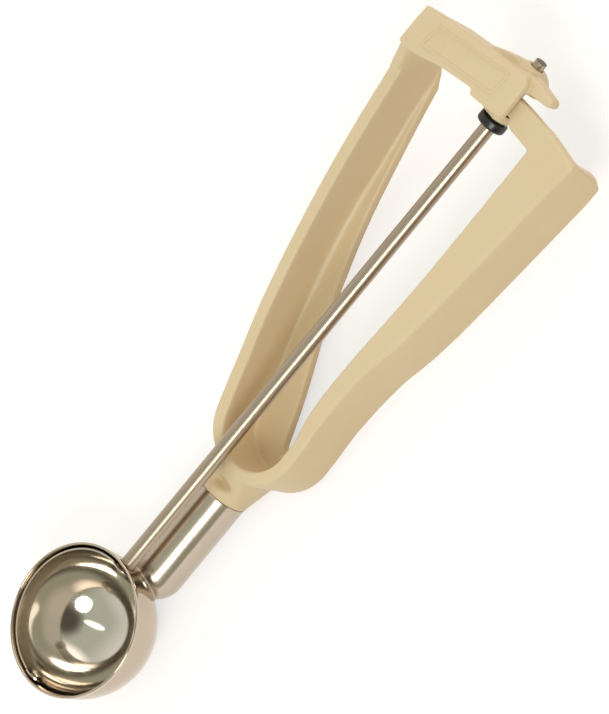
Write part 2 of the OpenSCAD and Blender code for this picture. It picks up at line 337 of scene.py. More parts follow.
def shifted_y(array, amount):
    """The array with its content moved along Y by an amount in mm that varies from place to place."""
    n = array.shape[1]
    move = np.broadcast_to(amount, array.shape).astype(np.float32) / VOXEL
    place = np.clip(np.arange(n, dtype=np.float32)[None, :, None] - move, 0, n - 1.001)
    index = place.astype(np.int32)
    share = place - index
    near = np.take_along_axis(array, index, 1)
    return near + share * (np.take_along_axis(array, index + 1, 1) - near)


def ramp(x, points):
    """A value that runs straight between (x, value) points."""
    return np.interp(x, [q[0] for q in points], [q[1] for q in points])


def box(axes, *limits):
    """Signed distance from a box, given as (low, high) along X, Y and Z, with None where it is open."""
    distance = -np.inf
    for place, (low, high) in zip(axes, limits):
        if low is not None:
            distance = np.maximum(distance, low - place)
        if high is not None:
            distance = np.maximum(distance, place - high)
    return distance


def spot(axes, centre, radii, reach):
    """1 inside an ellipsoid, falling to 0 at reach times its size."""
    far = np.sqrt(sum(((p - c) / r) ** 2 for p, c, r in zip(axes, centre, radii)))
    return smoothstep(reach - far)


def add(field, distance):
    """Joins a shape, given by its distance, to the field."""
    field.array = np.minimum(field.array, distance).astype(np.float32)


def carve(field, distance):
    """Takes a shape away from the field."""
    field.array = np.maximum(field.array, -distance).astype(np.float32)


# ---------------------------------------------------------------- the moulding's shape

BEND_MID = (BEND_IN + BEND_OUT) / 2
# angles round the bend, degrees: the cut between the two pieces, what the lever's piece takes of the
# handle, and the stretch round the CAD's flexing line, which is solid here
CUT_ANGLE = 232
TAKEN = (218, 290)
TAKEN_RADIUS = 30
BRIDGE = (248, 272)

# rows of (x, value) in mm along each lever: the line up its middle in plan, the share of the changes
# below that applies, how far a side leans over the lever's depth, and how far it stands out in front
FIXED_MIDDLE = [(0, 14.3), (20, 18.9), (40, 24.4), (60, 28.5), (80, 31.6), (90, 33)]
FIXED_SHARE = [(-8, 0), (6, 1), (84, 1), (93, 0)]
FIXED_LEAN = [(15, 0.45), (55, 1.3)]
FIXED_FRONT = 0.45
FIXED_OUTER = [(0, 0.6), (75, 0.6), (88, 0.40), (92, 0)]
LEVER_MIDDLE = [(0, -16.8), (20, -18.4), (40, -21.4), (60, -23.4), (80, -25.2), (105, -27)]
LEVER_SHARE = [(-10, 0), (15, 1), (97, 1), (104, 0.5)]
LEVER_LEAN = [(15, 1.2), (45, 1.5)]
LEVER_FRONT = 0.65
# how far along X the lever's end reaches, as (z, x)
LEVER_END = [(14, 104.5), (20, 105.3), (25, 106.3), (28, 108.5)]

# outlines in plan: the corner of the head's plate over the bush, which the photo shows fuller than
# the CAD has it, the corner of the lever's arm by the bush, and the swelling of the fixed lever
# where it meets the head
PLATE_CORNER = [
    (97.4, 5.1), (98.45, -2.1), (99.2, -6.2), (99.7, -7.3), (100.6, -7.7),
    (112.6, -7.6), (112.6, -4.0), (101.5, -4.0), (100.0, 4.0),
]
ARM_CORNER = [(98.8, -13.5), (98.8, -8.5), (99.4, -7.9), (101.5, -7.9), (101.5, -13.5)]
ARM_CORNER_DEPTH = 1.7
GUSSET = [(78, 33.7), (81, 34.9), (86, 35.3), (93.5, 35.45), (93.5, 31.5), (86, 31.5)]
GUSSET_LOW = 21

# the head: the underside of its plate's corner, the height of the raised frame on it, the notch in its
# edge, and the boss behind the bush
PLATE_BACK = 28.9
FRAME_HIGH = 0.28
NOTCH_X, NOTCH_Y = 97.35, 5.1
BOSS_R = 4.05

# how much the edges are rounded, as the blur's sigma in mm
EDGE_BLUR = 0.42
NECK_BLUR = 1.1
NOTCH_BLUR = 0.2
END_BLUR = 0.6

# how far round the cut the surface is split, in metres
CUT_REACH = 0.0125


def build_fields():
    """The handle's and the lever's fields, on one grid of samples."""
    handle, lever = field_of("handle_frame"), field_of("squeeze_lever")
    low = np.minimum(handle.low, lever.low)
    high = np.maximum(handle.low + handle.array.shape, lever.low + lever.array.shape)
    out = []
    for f in (handle, lever):
        g = Field(low, tuple(high - low))
        g.array.fill(FAR)
        s = tuple(slice(a, a + n) for a, n in zip(f.low - low, f.array.shape))
        g.array[s] = f.array
        out.append(g)
    return out


def join_at_bend(handle, lever, axes, front):
    """The lever's field takes the handle's round the bend, and the CAD's flexing line is closed."""
    r, angle = bend_frame(axes)
    near = (r < TAKEN_RADIUS) & (angle > TAKEN[0]) & (angle < TAKEN[1])
    add(lever, np.where(near, handle.array, FAR))
    through = np.abs(r - BEND_MID) - (BEND_OUT - BEND_IN) / 2
    down = np.abs(front + LEVER_DEPTH / 2) - LEVER_DEPTH / 2
    along = np.radians(np.abs(angle - sum(BRIDGE) / 2) - (BRIDGE[1] - BRIDGE[0]) / 2) * BEND_MID
    add(lever, np.maximum(np.maximum(through, down), along))


def lean_sides(handle, lever, axes, front):
    """Draft: the sides that face -Y lean out towards the back, as the photo shows them."""
    x, y, _ = axes
    deep = np.clip(-front / LEVER_DEPTH, 0, 1)
    inner = FIXED_FRONT - deep * ramp(x, FIXED_LEAN)
    outside = smoothstep((y - ramp(x, FIXED_MIDDLE) + 1.5) / 3)
    move = inner + (ramp(x, FIXED_OUTER) - inner) * outside
    handle.array = shifted_y(handle.array, ramp(x, FIXED_SHARE) * move)
    lean = LEVER_FRONT - deep * ramp(x, LEVER_LEAN)
    outside = smoothstep((ramp(x, LEVER_MIDDLE) - y + 1.5) / 3)
    lever.array = shifted_y(lever.array, ramp(x, LEVER_SHARE) * lean * outside)


def fit_lever(lever, axes, front):
    """The squeeze lever's arm by the bush, and its free end."""
    x, y, z = axes
    # the arm's inner edge comes up to the bush
    half = ARM_CORNER_DEPTH / 2
    add(lever, np.maximum(polygon_distance(ARM_CORNER, x, y), np.abs(front + half) - half))
    # the end recedes towards its back, except where the arm leaves it
    arm = 6 * smoothstep((y + 31) / 7)
    carve(lever, ramp(z, LEVER_END) + arm - x)


def fit_head(handle, axes):
    """The head's plate, and the places round it that the photo shows otherwise than the CAD."""
    x, y, z = axes
    # the fixed lever's outer side swells up to the head, and slopes away from it on top
    gusset = np.maximum(polygon_distance(GUSSET, x, y), z - 27.0 - 0.36 * np.clip(x - 82, 0, 9))
    add(handle, np.maximum(gusset, GUSSET_LOW - z))
    # the plate's corner, and its top lowered by the height of the raised frame
    middle, half = (PLATE_TOP + PLATE_BACK) / 2, (PLATE_TOP - PLATE_BACK) / 2
    add(handle, np.maximum(polygon_distance(PLATE_CORNER, x, y), np.abs(z - middle) - half))
    carve(handle, PLATE_TOP - FRAME_HIGH - z)
    # the plate's edge beyond its notch is straight, and the boss behind the bush is smaller than the bush
    edge = NOTCH_X + 0.135 * (NOTCH_Y - y)
    past_edge = box(axes, (None, edge), (-9, NOTCH_Y), (26, None))
    ring = np.maximum(BOSS_R - np.hypot(y, z - AXIS_Z), box(axes, (94, 98.75), (None, 2.9), (None, 28.7)))
    carve(handle, past_edge)
    carve(handle, ring)


def round_edges(field, spots):
    """Blurs the field, and blurs it by another amount at each spot; spots are (share there, sigma)."""
    soft = blurred(field.array, EDGE_BLUR)
    for share, sigma in spots:
        soft = soft + share * (blurred(field.array, sigma) - soft)
    field.array = np.ascontiguousarray(soft, np.float32)


def shape_moulding():
    """The handle's and the lever's fields, shaped to the photo and rounded."""
    handle, lever = build_fields()
    axes = handle.axes()
    x, _, z = axes
    front = (z - ROOT[2]) * math.cos(TILT) - (x - ROOT[0]) * math.sin(TILT)
    join_at_bend(handle, lever, axes, front)
    # the teeth of the rack are a crisp piece of their own
    carve(lever, box(axes, (PINION_X - 0.1, PINION_X + 5.3), (-11, 8), (None, AXIS_Z + 4.6)))
    lean_sides(handle, lever, axes, front)
    fit_lever(lever, axes, front)
    fit_head(handle, axes)
    neck = spot(axes, (-37, 0, 10), (9, 14, 14), 1.5) * smoothstep((x + 42) / 3)
    shoulder = spot(axes, (90.5, 31.2, 26), (4.5, 3.5, 4.5), 1.6)
    notch = spot(axes, (98, 5, 30), (3, 3, 4), 2)
    round_edges(handle, [(np.maximum(neck, shoulder), NECK_BLUR), (notch, NOTCH_BLUR)])
    end = spot(axes, (103, -33.5, 20), (7, 4, 12), 1.6)
    round_edges(lever, [(end, END_BLUR)])
    return handle, lever


def field_normals(field, points):
    """Unit normals at points, from the field's slope."""
    d = VOXEL * 0.7
    n = np.stack([
        sample(field, field.array, points + e) - sample(field, field.array, points - e) for e in np.eye(3) * d
    ], 1)
    return n / np.maximum(np.linalg.norm(n, axis=1), 1e-9)[:, None]


def cut_across_bend(bm):
    """Splits the mesh along a plane through the bend's axis, at the cut's angle only."""
    a = math.radians(CUT_ANGLE)
    origin = plan_place(BEND[0], BEND[1], 0) * MM
    along = plan_place(-math.sin(a), math.cos(a), 0) - plan_place(0, 0, 0)
    x, y = BEND + BEND_MID * np.array([math.cos(a), math.sin(a)])
    centre = Vector(plan_place(x, y, LEVER_DEPTH / 2) * MM)
    near = [f for f in bm.faces if (f.calc_center_median() - centre).length < CUT_REACH]
    geom = list({g for f in near for g in [f, *f.verts, *f.edges]})
    cut = bmesh.ops.bisect_plane(
        bm, geom=geom, plane_co=Vector(origin), plane_no=Vector(along), dist=1e-7
    )["geom_cut"]
    bmesh.ops.split_edges(bm, edges=[e for e in cut if isinstance(e, bmesh.types.BMEdge)])


def linked_parts(bm):
    """Lists of faces that hang together."""
    parts, seen = [], set()
    for f in bm.faces:
        if f.index in seen:
            continue
        stack, part = [f], []
        seen.add(f.index)
        while stack:
            g = stack.pop()
            part.append(g)
            for e in g.edges:
                for h in e.link_faces:
                    if h.index not in seen:
                        seen.add(h.index)
                        stack.append(h)
        parts.append(part)
    return parts


def field_piece(name, field):
    """The largest part of the field's surface once it is cut across the bend, closed where it was cut."""
    points, quads = surface(field)
    obj = new_object(name, points, [tuple(q) for q in quads])
    bm = bmesh.new()
    bm.from_mesh(obj.data)
    cut_across_bend(bm)
    parts = sorted(linked_parts(bm), key=len)
    bmesh.ops.delete(bm, geom=[f for part in parts[:-1] for f in part], context="FACES")
    bmesh.ops.holes_fill(bm, edges=[e for e in bm.edges if e.is_boundary], sides=0)
    bm.to_mesh(obj.data)
    bm.free()
    shade_by_field(obj, field)
    return obj


# how far the tone of an inner or outer corner spreads, and how sharp a corner has its full tone, in mm
TONE_BLUR = 0.9
TONE_FULL = 0.25


def shade_by_field(obj, field):
    """Normals straight from the field, so that the shading is smoother than the mesh; a cap keeps its own.

    The material reads three attributes, set below: a painted shade in the neck's dimple and under the head's
    plate, a painted highlight along the levers' inner corners, and lighter outer edges, partly edge wear and
    partly a painted highlight.
    """
    mesh = obj.data
    mesh.update()
    co = np.empty(len(mesh.vertices) * 3)
    mesh.vertices.foreach_get("co", co)
    points = co.reshape(-1, 3) / MM
    normals = field_normals(field, points)
    corner = np.empty(len(mesh.loops), np.int32)
    mesh.loops.foreach_get("vertex_index", corner)
    per_corner = normals[corner]
    for p in mesh.polygons:
        if len(p.vertices) > 4:
            per_corner[p.loop_start:p.loop_start + p.loop_total] = p.normal
    mesh.polygons.foreach_set("use_smooth", [True] * len(mesh.polygons))
    mesh.normals_split_custom_set(per_corner.tolist())
    depth = sample(field, field.array - blurred(field.array, TONE_BLUR), points)
    x, z = points[:, 0], points[:, 2]
    # where the painted shade falls: the neck's dimple and the place under the head's plate
    neck = smoothstep((-24 - x) / 6)
    levers = smoothstep(x / 20)
    under = smoothstep((x - 80) / 6) * smoothstep(30.4 - z)
    tones = {
        # painted shade: darker in the neck's dimple and under the head's plate
        "painted_shade": depth * np.maximum(neck, under),
        # painted highlight along the inner corners of the levers
        "glint": depth * levers * (1 - under),
        # lighter outer edges, partly edge wear and partly a painted highlight
        "ridge": -depth,
    }
    for key, values in tones.items():
        attribute = mesh.attributes.new(key, "FLOAT", "POINT")
        attribute.data.foreach_set("value", np.clip(values / TONE_FULL, 0, 1).astype(np.float32))


handle_field, lever_field = shape_moulding()
moulding = field_piece("moulding", handle_field)
grip = field_piece("grip_lever", lever_field)

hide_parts("handle_frame")
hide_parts("squeeze_lever")
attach(moulding, "handle")
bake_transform(grip)


# ---------------------------------------------------------------- metal pieces

BOWL_OUT = 21.7
BOWL_IN = 21.0
RIM_R = 22.1
RIM_Z = 3.3
ROD_R = 2.25
TIP_R = 1.8
STEM_R = 8.0
STEM_WALL = 1.0
STEM_BALL = np.array([-71.85, 0.0, STEM_Z])
STEM_END = -42.35
BLADE_IN, BLADE_OUT = 20.2, 20.7


def from_bowl(x):
    """A place along X given from the bowl's centre."""
    return BOWL[0] + x


def on_bowl(a, b, h):
    """A lathe's axis straight up through the bowl's centre."""
    return BOWL[0] + a, b, BOWL[2] + h


def arc_points(c, r, a0, a1, n):
    """n + 1 points on an arc from angle a0 to a1, in degrees."""
    angles = [math.radians(a0 + (a1 - a0) * i / n) for i in range(n + 1)]
    return [(c[0] + r * math.cos(a), c[1] + r * math.sin(a)) for a in angles]


def make_bowl():
    """The bowl with its flared rim and rolled lip."""
    out, inside = BOWL_OUT, BOWL_IN
    wall_out = [(out, 0.7), (out, 1.3), (out + 0.06, 1.75), (out + 0.2, 2.2), (RIM_R - 0.06, 2.6)]
    lip = arc_points((RIM_R - 0.36, RIM_Z - 0.38), 0.36, 0, 150, 10)
    wall_in = [(inside + 0.28, 2.65), (inside + 0.1, 2.2), (inside + 0.02, 1.7), (inside, 1.2), (inside, 0.6)]
    outer, inner = arc_points((0, 0), out, -90, 0, 64), arc_points((0, 0), inside, 0, -90, 64)
    outer[0], inner[-1] = (0, -out), (0, -inside)
    profile = outer + wall_out + lip + wall_in + inner
    bowl = lathe("bowl_shell", profile, on_bowl, 256)
    # the holes for the rod and for the blade's far pivot
    for x0, x1, r in ((from_bowl(10), from_bowl(30), ROD_R + 0.22), (from_bowl(-30), from_bowl(-10), 1.25)):
        subtract(bowl, lathe("cutter", [(0, x0), (r, x0), (r, x1), (0, x1)], along_x(0, AXIS_Z), 48))
    return sharpen(bowl, 30)


def make_stem():
    """A tube with a round end, cut out where the bowl sits in it."""
    r, wall, ball, end = STEM_R, STEM_WALL, STEM_BALL[0], STEM_END

    def cap(radius, angles):
        return [(radius * math.cos(t), ball - radius * math.sin(t)) for t in np.radians(angles)]

    outer, inner = cap(r, np.linspace(90, 0, 33)), cap(r - wall, np.linspace(0, 90, 25))
    outer[0], inner[-1] = (0, ball - r), (0, ball - r + wall)
    middle = [(r, ball + (end - ball) * k / 8) for k in range(1, 8)]
    mouth = [(r, end - 0.4), (r, end - 0.12), (r - 0.04, end - 0.04), (r - 0.12, end), (r - wall, end)]
    stem = lathe("stem_sleeve", outer + middle + mouth + inner, along_x(0, STEM_Z), 160)
    sphere = [(0, -BOWL_OUT)] + arc_points((0, 0), BOWL_OUT, -89, 89, 120) + [(0, BOWL_OUT)]
    subtract(stem, lathe("cutter", sphere, on_bowl, 160, closed=False))
    return sharpen(stem, 30)


def make_braze():
    """The bead of braze in the groove where the stem's round end meets the bowl."""
    axis = STEM_BALL - BOWL
    d = np.linalg.norm(axis)
    axis = axis / d
    a = (d * d + BOWL_OUT ** 2 - STEM_R ** 2) / (2 * d)
    ring = math.sqrt(BOWL_OUT ** 2 - a * a)
    side = np.cross(axis, [0, 1, 0])
    side /= np.linalg.norm(side)
    other = np.cross(axis, side)
    bead = arc_points((ring + 0.22, a + 0.06), 0.30, 0, 360, 18)[:-1]

    def place(x, y, h):
        wave = 1 + 0.012 * math.sin(7 * math.atan2(y, x)) + 0.008 * math.sin(13 * math.atan2(y, x) + 1)
        return tuple(BOWL + axis * h + (side * x + other * y) * wave)

    return lathe("stem_braze", bead, place, 144)


def make_rod():
    """The rod, its grooved end that carries the blade, and its thinner tip beyond the head."""
    start, groove = from_bowl(BLADE_IN - 1.05), from_bowl(BLADE_IN - 0.25)
    shoulder = from_bowl(BLADE_OUT + 0.1)
    step, tip, neck = 107.45, 116.45, 1.5
    profile = [(0, start)]
    profile += rounded(
        [(0, start), (ROD_R, start), (ROD_R, groove), (neck, groove), (neck, shoulder), (ROD_R, shoulder),
         (ROD_R, step), (TIP_R, step), (TIP_R, tip), (0, tip)],
        [0, 0.35, 0.12, 0, 0, 0.15, 0.25, 0.1, 0.35, 0], 5)[1:]
    dense = [profile[0]]
    longest = 8
    for a, b in zip(np.array(profile), np.array(profile[1:])):
        n = max(1, int(np.linalg.norm(b - a) / longest))
        dense += [tuple(a + (b - a) * k / n) for k in range(1, n + 1)]
    return sharpen(lathe("spindle_rod", dense, along_x(0, AXIS_Z), 96, closed=False), 40)


def make_blade():
    """A thin spherical strip with a round lug at each end; it is parked along the +Y wall."""
    half_wide, lug, edge, across = 2.6, 3.6, 0.03, 10
    middle = (BLADE_IN + BLADE_OUT) / 2
    end = math.degrees(math.asin(lug / BLADE_OUT))
    lugs = np.linspace(-end, 14, 26), np.linspace(166, 180 + end, 26)
    angles = np.concatenate([lugs[0], np.linspace(16, 164, 100), lugs[1]])
    steps = [2 * k / across - 1 for k in range(across + 1)]
    verts, rings = [], []
    for angle in np.radians(angles):
        c, s = math.cos(angle), math.sin(angle)
        y = BLADE_OUT * s
        # the lug's half width here; the strip's own takes over beyond the pivot
        w = math.sqrt(max(lug * lug - y * y, 0.02))
        if y >= 0:
            w = max(w, half_wide)
        section = [(w * t, BLADE_OUT) for t in steps] + [(w + edge, middle)]
        section += [(w * t, BLADE_IN) for t in reversed(steps)] + [(-w - edge, middle)]
        ring = []
        for z, r in section:
            rho = math.sqrt(r * r - z * z)
            ring.append(len(verts))
            verts.append((BOWL[0] + rho * c, rho * s, BOWL[2] + z))
        rings.append(ring)
    n = len(rings[0])
    faces = [tuple(rings[0])]
    for a, b in zip(rings, rings[1:]):
        faces += [(a[k], a[(k + 1) % n], b[(k + 1) % n], b[k]) for k in range(n)]
    faces.append(tuple(rings[-1]))
    return sharpen(outward(new_object("sweep_blade", verts, faces)), 50)


def make_rivet():
    """The blade's far pivot: a short pin with a domed head on each side of the bowl's wall."""
    x = from_bowl
    dome = [(1.8 * math.cos(t), x(-21.75) - 0.33 * math.sin(t)) for t in np.linspace(math.pi / 2, 0, 9)]
    inner = [(1.8 * math.cos(t), x(-19.6) + 0.42 * math.sin(t)) for t in np.linspace(0, math.pi / 2, 9)]
    dome[0], inner[-1] = (0, dome[0][1]), (0, inner[-1][1])
    profile = dome + [(1.8, x(-21.7)), (1.2, x(-21.68)), (1.2, x(-19.95)), (1.8, x(-19.95))] + inner
    return sharpen(lathe("pivot_rivet", profile, along_x(0, AXIS_Z), 48, closed=False), 40)


def make_bush():
    """The black bush: a flange against the head, and a sleeve into it."""
    flange, sleeve, hole = 4.45, 3.2, 2.31
    front, back, end = HEAD_X - 2.85, HEAD_X - 0.05, HEAD_X + 3.5
    outline = [(hole, front), (flange, front), (flange, back), (sleeve, back), (sleeve, end), (hole, end)]
    profile = rounded(outline, [0.3, 0.85, 0.35, 0, 0.2, 0.2], 7)
    return sharpen(lathe("spindle_bush", profile, along_x(0, AXIS_Z), 96), 45)


def make_teeth():
    """The rack's teeth, moulded on the under side of the lever's arm and swung about its flexing line."""
    half_tip, half_root, low, high = 0.25, 0.625, PITCH_R - MODULE, PITCH_R + 1.15 * MODULE + 0.8
    pitch = 36 / RATIO
    bm = bmesh.new()
    for i in range(-6, 2):
        turn = math.radians(i * pitch)
        c, s = math.cos(turn), math.sin(turn)
        verts = []
        for x in (PINION_X + 0.2, PINION_X + 5.2):
            for y, z in ((-half_tip, low), (half_tip, low), (half_root, high), (-half_root, high)):
                px, py = np.array([x, y]) - FLEX
                q = FLEX + [px * c - py * s, px * s + py * c]
                verts.append(bm.verts.new((q[0] * MM, q[1] * MM, (AXIS_Z + z) * MM)))
        for f in ((0, 1, 2, 3), (7, 6, 5, 4), (0, 4, 5, 1), (1, 5, 6, 2), (2, 6, 7, 3), (3, 7, 4, 0)):
            bm.faces.new([verts[k] for k in f])
    bmesh.ops.recalc_face_normals(bm, faces=bm.faces)
    bmesh.ops.bevel(bm, geom=list(bm.edges), offset=0.07 * MM, segments=2, affect="EDGES")
    mesh = bpy.data.meshes.new("rack_teeth")
    bm.to_mesh(mesh)
    bm.free()
    mesh.polygons.foreach_set("use_smooth", [True] * len(mesh.polygons))
    return sharpen(linked("rack_teeth", mesh), 40)


# the middle of the raised frame's line, in plan
LABEL = [(103.45, 26.9), (96.05, 28.3), (102.6, -0.2), (110.3, -0.9)]


def make_label_frame():
    """A plain raised line round the place on the head where such scoops carry a name."""
    path = rounded(LABEL, [0.55] * 4, 6)
    section = [(-0.50, -0.34), (-0.36, -0.07), (-0.22, 0.0), (0.22, 0.0), (0.36, -0.07), (0.50, -0.34)]
    n = len(path)
    verts, faces = [], []
    for i in range(n):
        a, b = path[i - 1], path[(i + 1) % n]
        t = (b - a) / np.linalg.norm(b - a)
        for across, height in section:
            q = path[i] + np.array([-t[1], t[0]]) * across
            verts.append((q[0], q[1], PLATE_TOP + height))
    m = len(section)
    for i in range(n):
        for k in range(m):
            a, b = i * m + k, i * m + (k + 1) % m
            c, d = (i + 1) % n * m + (k + 1) % m, (i + 1) % n * m + k
            faces.append((a, b, c, d))
    return sharpen(outward(new_object("label_frame", verts, faces)), 60)


def make_pinion():
    """The pinion with its free end drawn in past its pin, so that it stays behind the arm as in the photo."""
    kept, share = 103.5 * MM, 0.17
    mesh = frame["nodes"]["pinion"].data.copy()
    mesh.name = "spur_pinion"
    for v in mesh.vertices:
        if v.co.x > kept:
            v.co.x = kept + (v.co.x - kept) * share
    return linked("spur_pinion", mesh)


# each piece, the CAD node that it stands for and the body that it rides
METAL = [
    (make_bowl(), "bowl", "handle"),
    (make_stem(), "stem_tube", "handle"),
    (make_braze(), None, "handle"),
    (make_rod(), "drive_rod", "rod"),
    (make_blade(), "scraper_blade", "rod"),
    (make_rivet(), "blade_pivot_rivet", "handle"),
    (make_bush(), "rod_bush", "handle"),
    (make_pinion(), "pinion", "rod"),
]
teeth = make_teeth()
for piece, node, body in METAL:
    if node:
        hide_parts(node)
    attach(piece, body)
label = make_label_frame()
for piece, body in ((teeth, "lever"), (label, "handle")):
    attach(piece, body)


# ---------------------------------------------------------------- materials

class Graph:
    """Short ways to add nodes to a tree."""

    def __init__(self, tree):
        self.tree = tree

    def node(self, kind, **values):
        n = self.tree.nodes.new(kind)
        for key, value in values.items():
            setattr(n, key, value)
        return n

    def link(self, a, b):
        self.tree.links.new(a, b)

    def coordinates(self, scale=(1, 1, 1)):
        place = self.node("ShaderNodeTexCoord")
        mapping = self.node("ShaderNodeMapping")
        mapping.inputs["Scale"].default_value = scale
        self.link(place.outputs["Object"], mapping.inputs["Vector"])
        return mapping.outputs["Vector"]

    def noise(self, scale, detail=2, stretch=(1, 1, 1)):
        n = self.node("ShaderNodeTexNoise")
        n.inputs["Scale"].default_value = scale
        n.inputs["Detail"].default_value = detail
        self.link(self.coordinates(stretch), n.inputs["Vector"])
        return n.outputs["Fac"]

    def between(self, value, low, high, start=0.3, stop=0.7):
        n = self.node("ShaderNodeMapRange")
        n.inputs["From Min"].default_value = start
        n.inputs["From Max"].default_value = stop
        n.inputs["To Min"].default_value = low
        n.inputs["To Max"].default_value = high
        self.link(value, n.inputs["Value"])
        return n.outputs["Result"]

    def mix(self, share, a, b):
        """share runs from colour a to colour b; each is a colour or a socket."""
        n = self.node("ShaderNodeMix", data_type="RGBA")
        self.link(share, n.inputs["Factor"])
        for socket, value in (("A", a), ("B", b)):
            target = [i for i in n.inputs if i.name == socket and i.type == "RGBA"][0]
            if isinstance(value, tuple):
                target.default_value = value + (1,)
            else:
                self.link(value, target)
        return [o for o in n.outputs if o.type == "RGBA"][0]

    def attribute(self, name):
        return self.node("ShaderNodeAttribute", attribute_name=name).outputs["Fac"]

    def math(self, operation, a, b):
        n = self.node("ShaderNodeMath", operation=operation)
        for k, value in enumerate((a, b)):
            if isinstance(value, (int, float)):
                n.inputs[k].default_value = value
            else:
                self.link(value, n.inputs[k])
        return n.outputs[0]

    def lobe(self, azimuth, elevation, inner, outer):
        """1 within inner degrees of a direction, 0 beyond outer, for the world."""
        a, e = math.radians(azimuth), math.radians(elevation)
        dot = self.node("ShaderNodeVectorMath", operation="DOT_PRODUCT")
        place = self.node("ShaderNodeTexCoord")
        self.link(place.outputs["Generated"], dot.inputs[0])
        dot.inputs[1].default_value = (math.cos(e) * math.cos(a), math.cos(e) * math.sin(a), math.sin(e))
        n = self.node("ShaderNodeMapRange", interpolation_type="SMOOTHSTEP")
        n.inputs["From Min"].default_value = math.cos(math.radians(outer))
        n.inputs["From Max"].default_value = math.cos(math.radians(inner))
        self.link(dot.outputs["Value"], n.inputs["Value"])
        return n.outputs["Result"]


class Material(Graph):
    """A Principled material."""

    def __init__(self, name, **sockets):
        self.material = bpy.data.materials.new(name)
        self.material.use_nodes = True
        super().__init__(self.material.node_tree)
        self.shader = self.tree.nodes["Principled BSDF"]
        for key, value in sockets.items():
            self.shader.inputs[key.replace("_", " ")].default_value = value

    def bump(self, height, strength, distance):
        n = self.node("ShaderNodeBump")
        n.inputs["Strength"].default_value = strength
        n.inputs["Distance"].default_value = distance
        self.link(height, n.inputs["Height"])
        self.link(n.outputs["Normal"], self.shader.inputs["Normal"])

    def set(self, socket, value):
        self.link(value, self.shader.inputs[socket])


def plastic_material():
    m = Material("beige_plastic", IOR=1.46, Coat_Weight=0.5, Coat_Roughness=0.38, Coat_IOR=1.5)
    main, pale, warm = (0.715, 0.553, 0.333), (0.733, 0.578, 0.360), (0.684, 0.517, 0.300)
    tones = (
        # painted shade: a dark brown in the neck's dimple and under the head's plate
        ("painted_shade", 0.38, (0.54, 0.36, 0.17)),
        # painted highlight along the inner corners of the levers
        ("glint", 0.45, (0.80, 0.72, 0.54)),
        # lighter outer edges, partly edge wear and partly a painted highlight
        ("ridge", 0.12, (0.80, 0.68, 0.46)),
    )
    patches = m.between(m.noise(55, 3), 0, 1)
    flecks = m.between(m.noise(1400, 2), 0, 1, 0.35, 0.75)
    colour = m.mix(patches, main, pale)
    colour = m.mix(m.math("MULTIPLY", flecks, 0.35), colour, warm)
    for attribute, strength, shade in tones:
        colour = m.mix(m.math("MULTIPLY", m.attribute(attribute), strength), colour, shade)
    m.set("Base Color", colour)
    m.set("Roughness", m.between(m.noise(160, 4), 0.50, 0.62))
    grain = m.math("ADD", m.noise(3800, 2), m.math("MULTIPLY", m.noise(420, 2), 1.5))
    m.bump(grain, 0.12, 0.00008)
    return m.material


STEEL = (0.55, 0.468, 0.38)
# the rod's steel is darker than the rest: painted shade, standing in for the shaded surroundings that it
# reflects
STEEL_ROD = (0.445, 0.362, 0.275)
STEEL_BOWL = (0.56, 0.47, 0.37)
# a paler steel within the bowl's wall: painted light that keeps the repeated reflections inside from going
# dark
STEEL_INSIDE = (0.685, 0.625, 0.54)
# the colour of the rod's end face, darker than its side
STEEL_END_FACE = (0.20, 0.165, 0.13)
# fine lines drawn out along X, or round an upright axis
ALONG = (0.04, 1, 1)
ROUND = (1, 1, 25)
EVEN = (1, 1, 1)


def steel_material(name, stretch, fine, low, high, shade=STEEL, inside=None, cut=None):
    """Warm steel with a roughness from low to high.

    fine is the scale of its lines and stretch draws them out; inside is a paler colour within the bowl's
    wall, painted light that keeps its repeated reflections from going dark; cut is where along X a darker,
    rougher end face starts, in metres.
    """
    m = Material(name, Metallic=1.0)
    lines = m.noise(fine, 3, stretch)
    smear = m.noise(70, 4)
    colour = m.mix(m.between(smear, 0, 1), shade, tuple(v * 0.93 for v in shade))
    # painted light: the steel within the bowl's wall is paler
    if inside:
        reach = m.node("ShaderNodeVectorMath", operation="DISTANCE")
        m.link(m.coordinates(), reach.inputs[0])
        reach.inputs[1].default_value = tuple(BOWL * MM)
        within = m.between(reach.outputs["Value"], 1, 0, (BOWL_IN + 0.25) * MM, (BOWL_IN + 0.45) * MM)
        colour = m.mix(within, colour, inside)
    wear = m.math("ADD", m.math("MULTIPLY", lines, 0.5), m.math("MULTIPLY", smear, 0.5))
    rough = m.between(wear, low, high, 0.35, 0.65)
    # the end face is darker and rougher
    if cut:
        along = m.node("ShaderNodeSeparateXYZ")
        m.link(m.coordinates(), along.inputs[0])
        end = m.between(along.outputs["X"], 0, 1, cut - 0.0001, cut)
        colour = m.mix(end, colour, STEEL_END_FACE)
        rough = m.math("ADD", rough, m.math("MULTIPLY", end, 0.35))
    m.set("Base Color", colour)
    m.set("Roughness", rough)
    m.bump(lines, 0.03, 0.00001)
    return m.material


def black_material():
    m = Material("black_moulding")
    dust = m.noise(900, 4)
    m.set("Base Color", m.mix(m.between(dust, 0, 1, 0.5, 0.8), (0.010, 0.009, 0.008), (0.030, 0.027, 0.024)))
    m.set("Roughness", m.between(m.noise(300, 3), 0.24, 0.42))
    m.bump(m.noise(2500, 2), 0.1, 0.00005)
    return m.material


def dress(obj, material):
    obj.data.materials.clear()
    obj.data.materials.append(material)


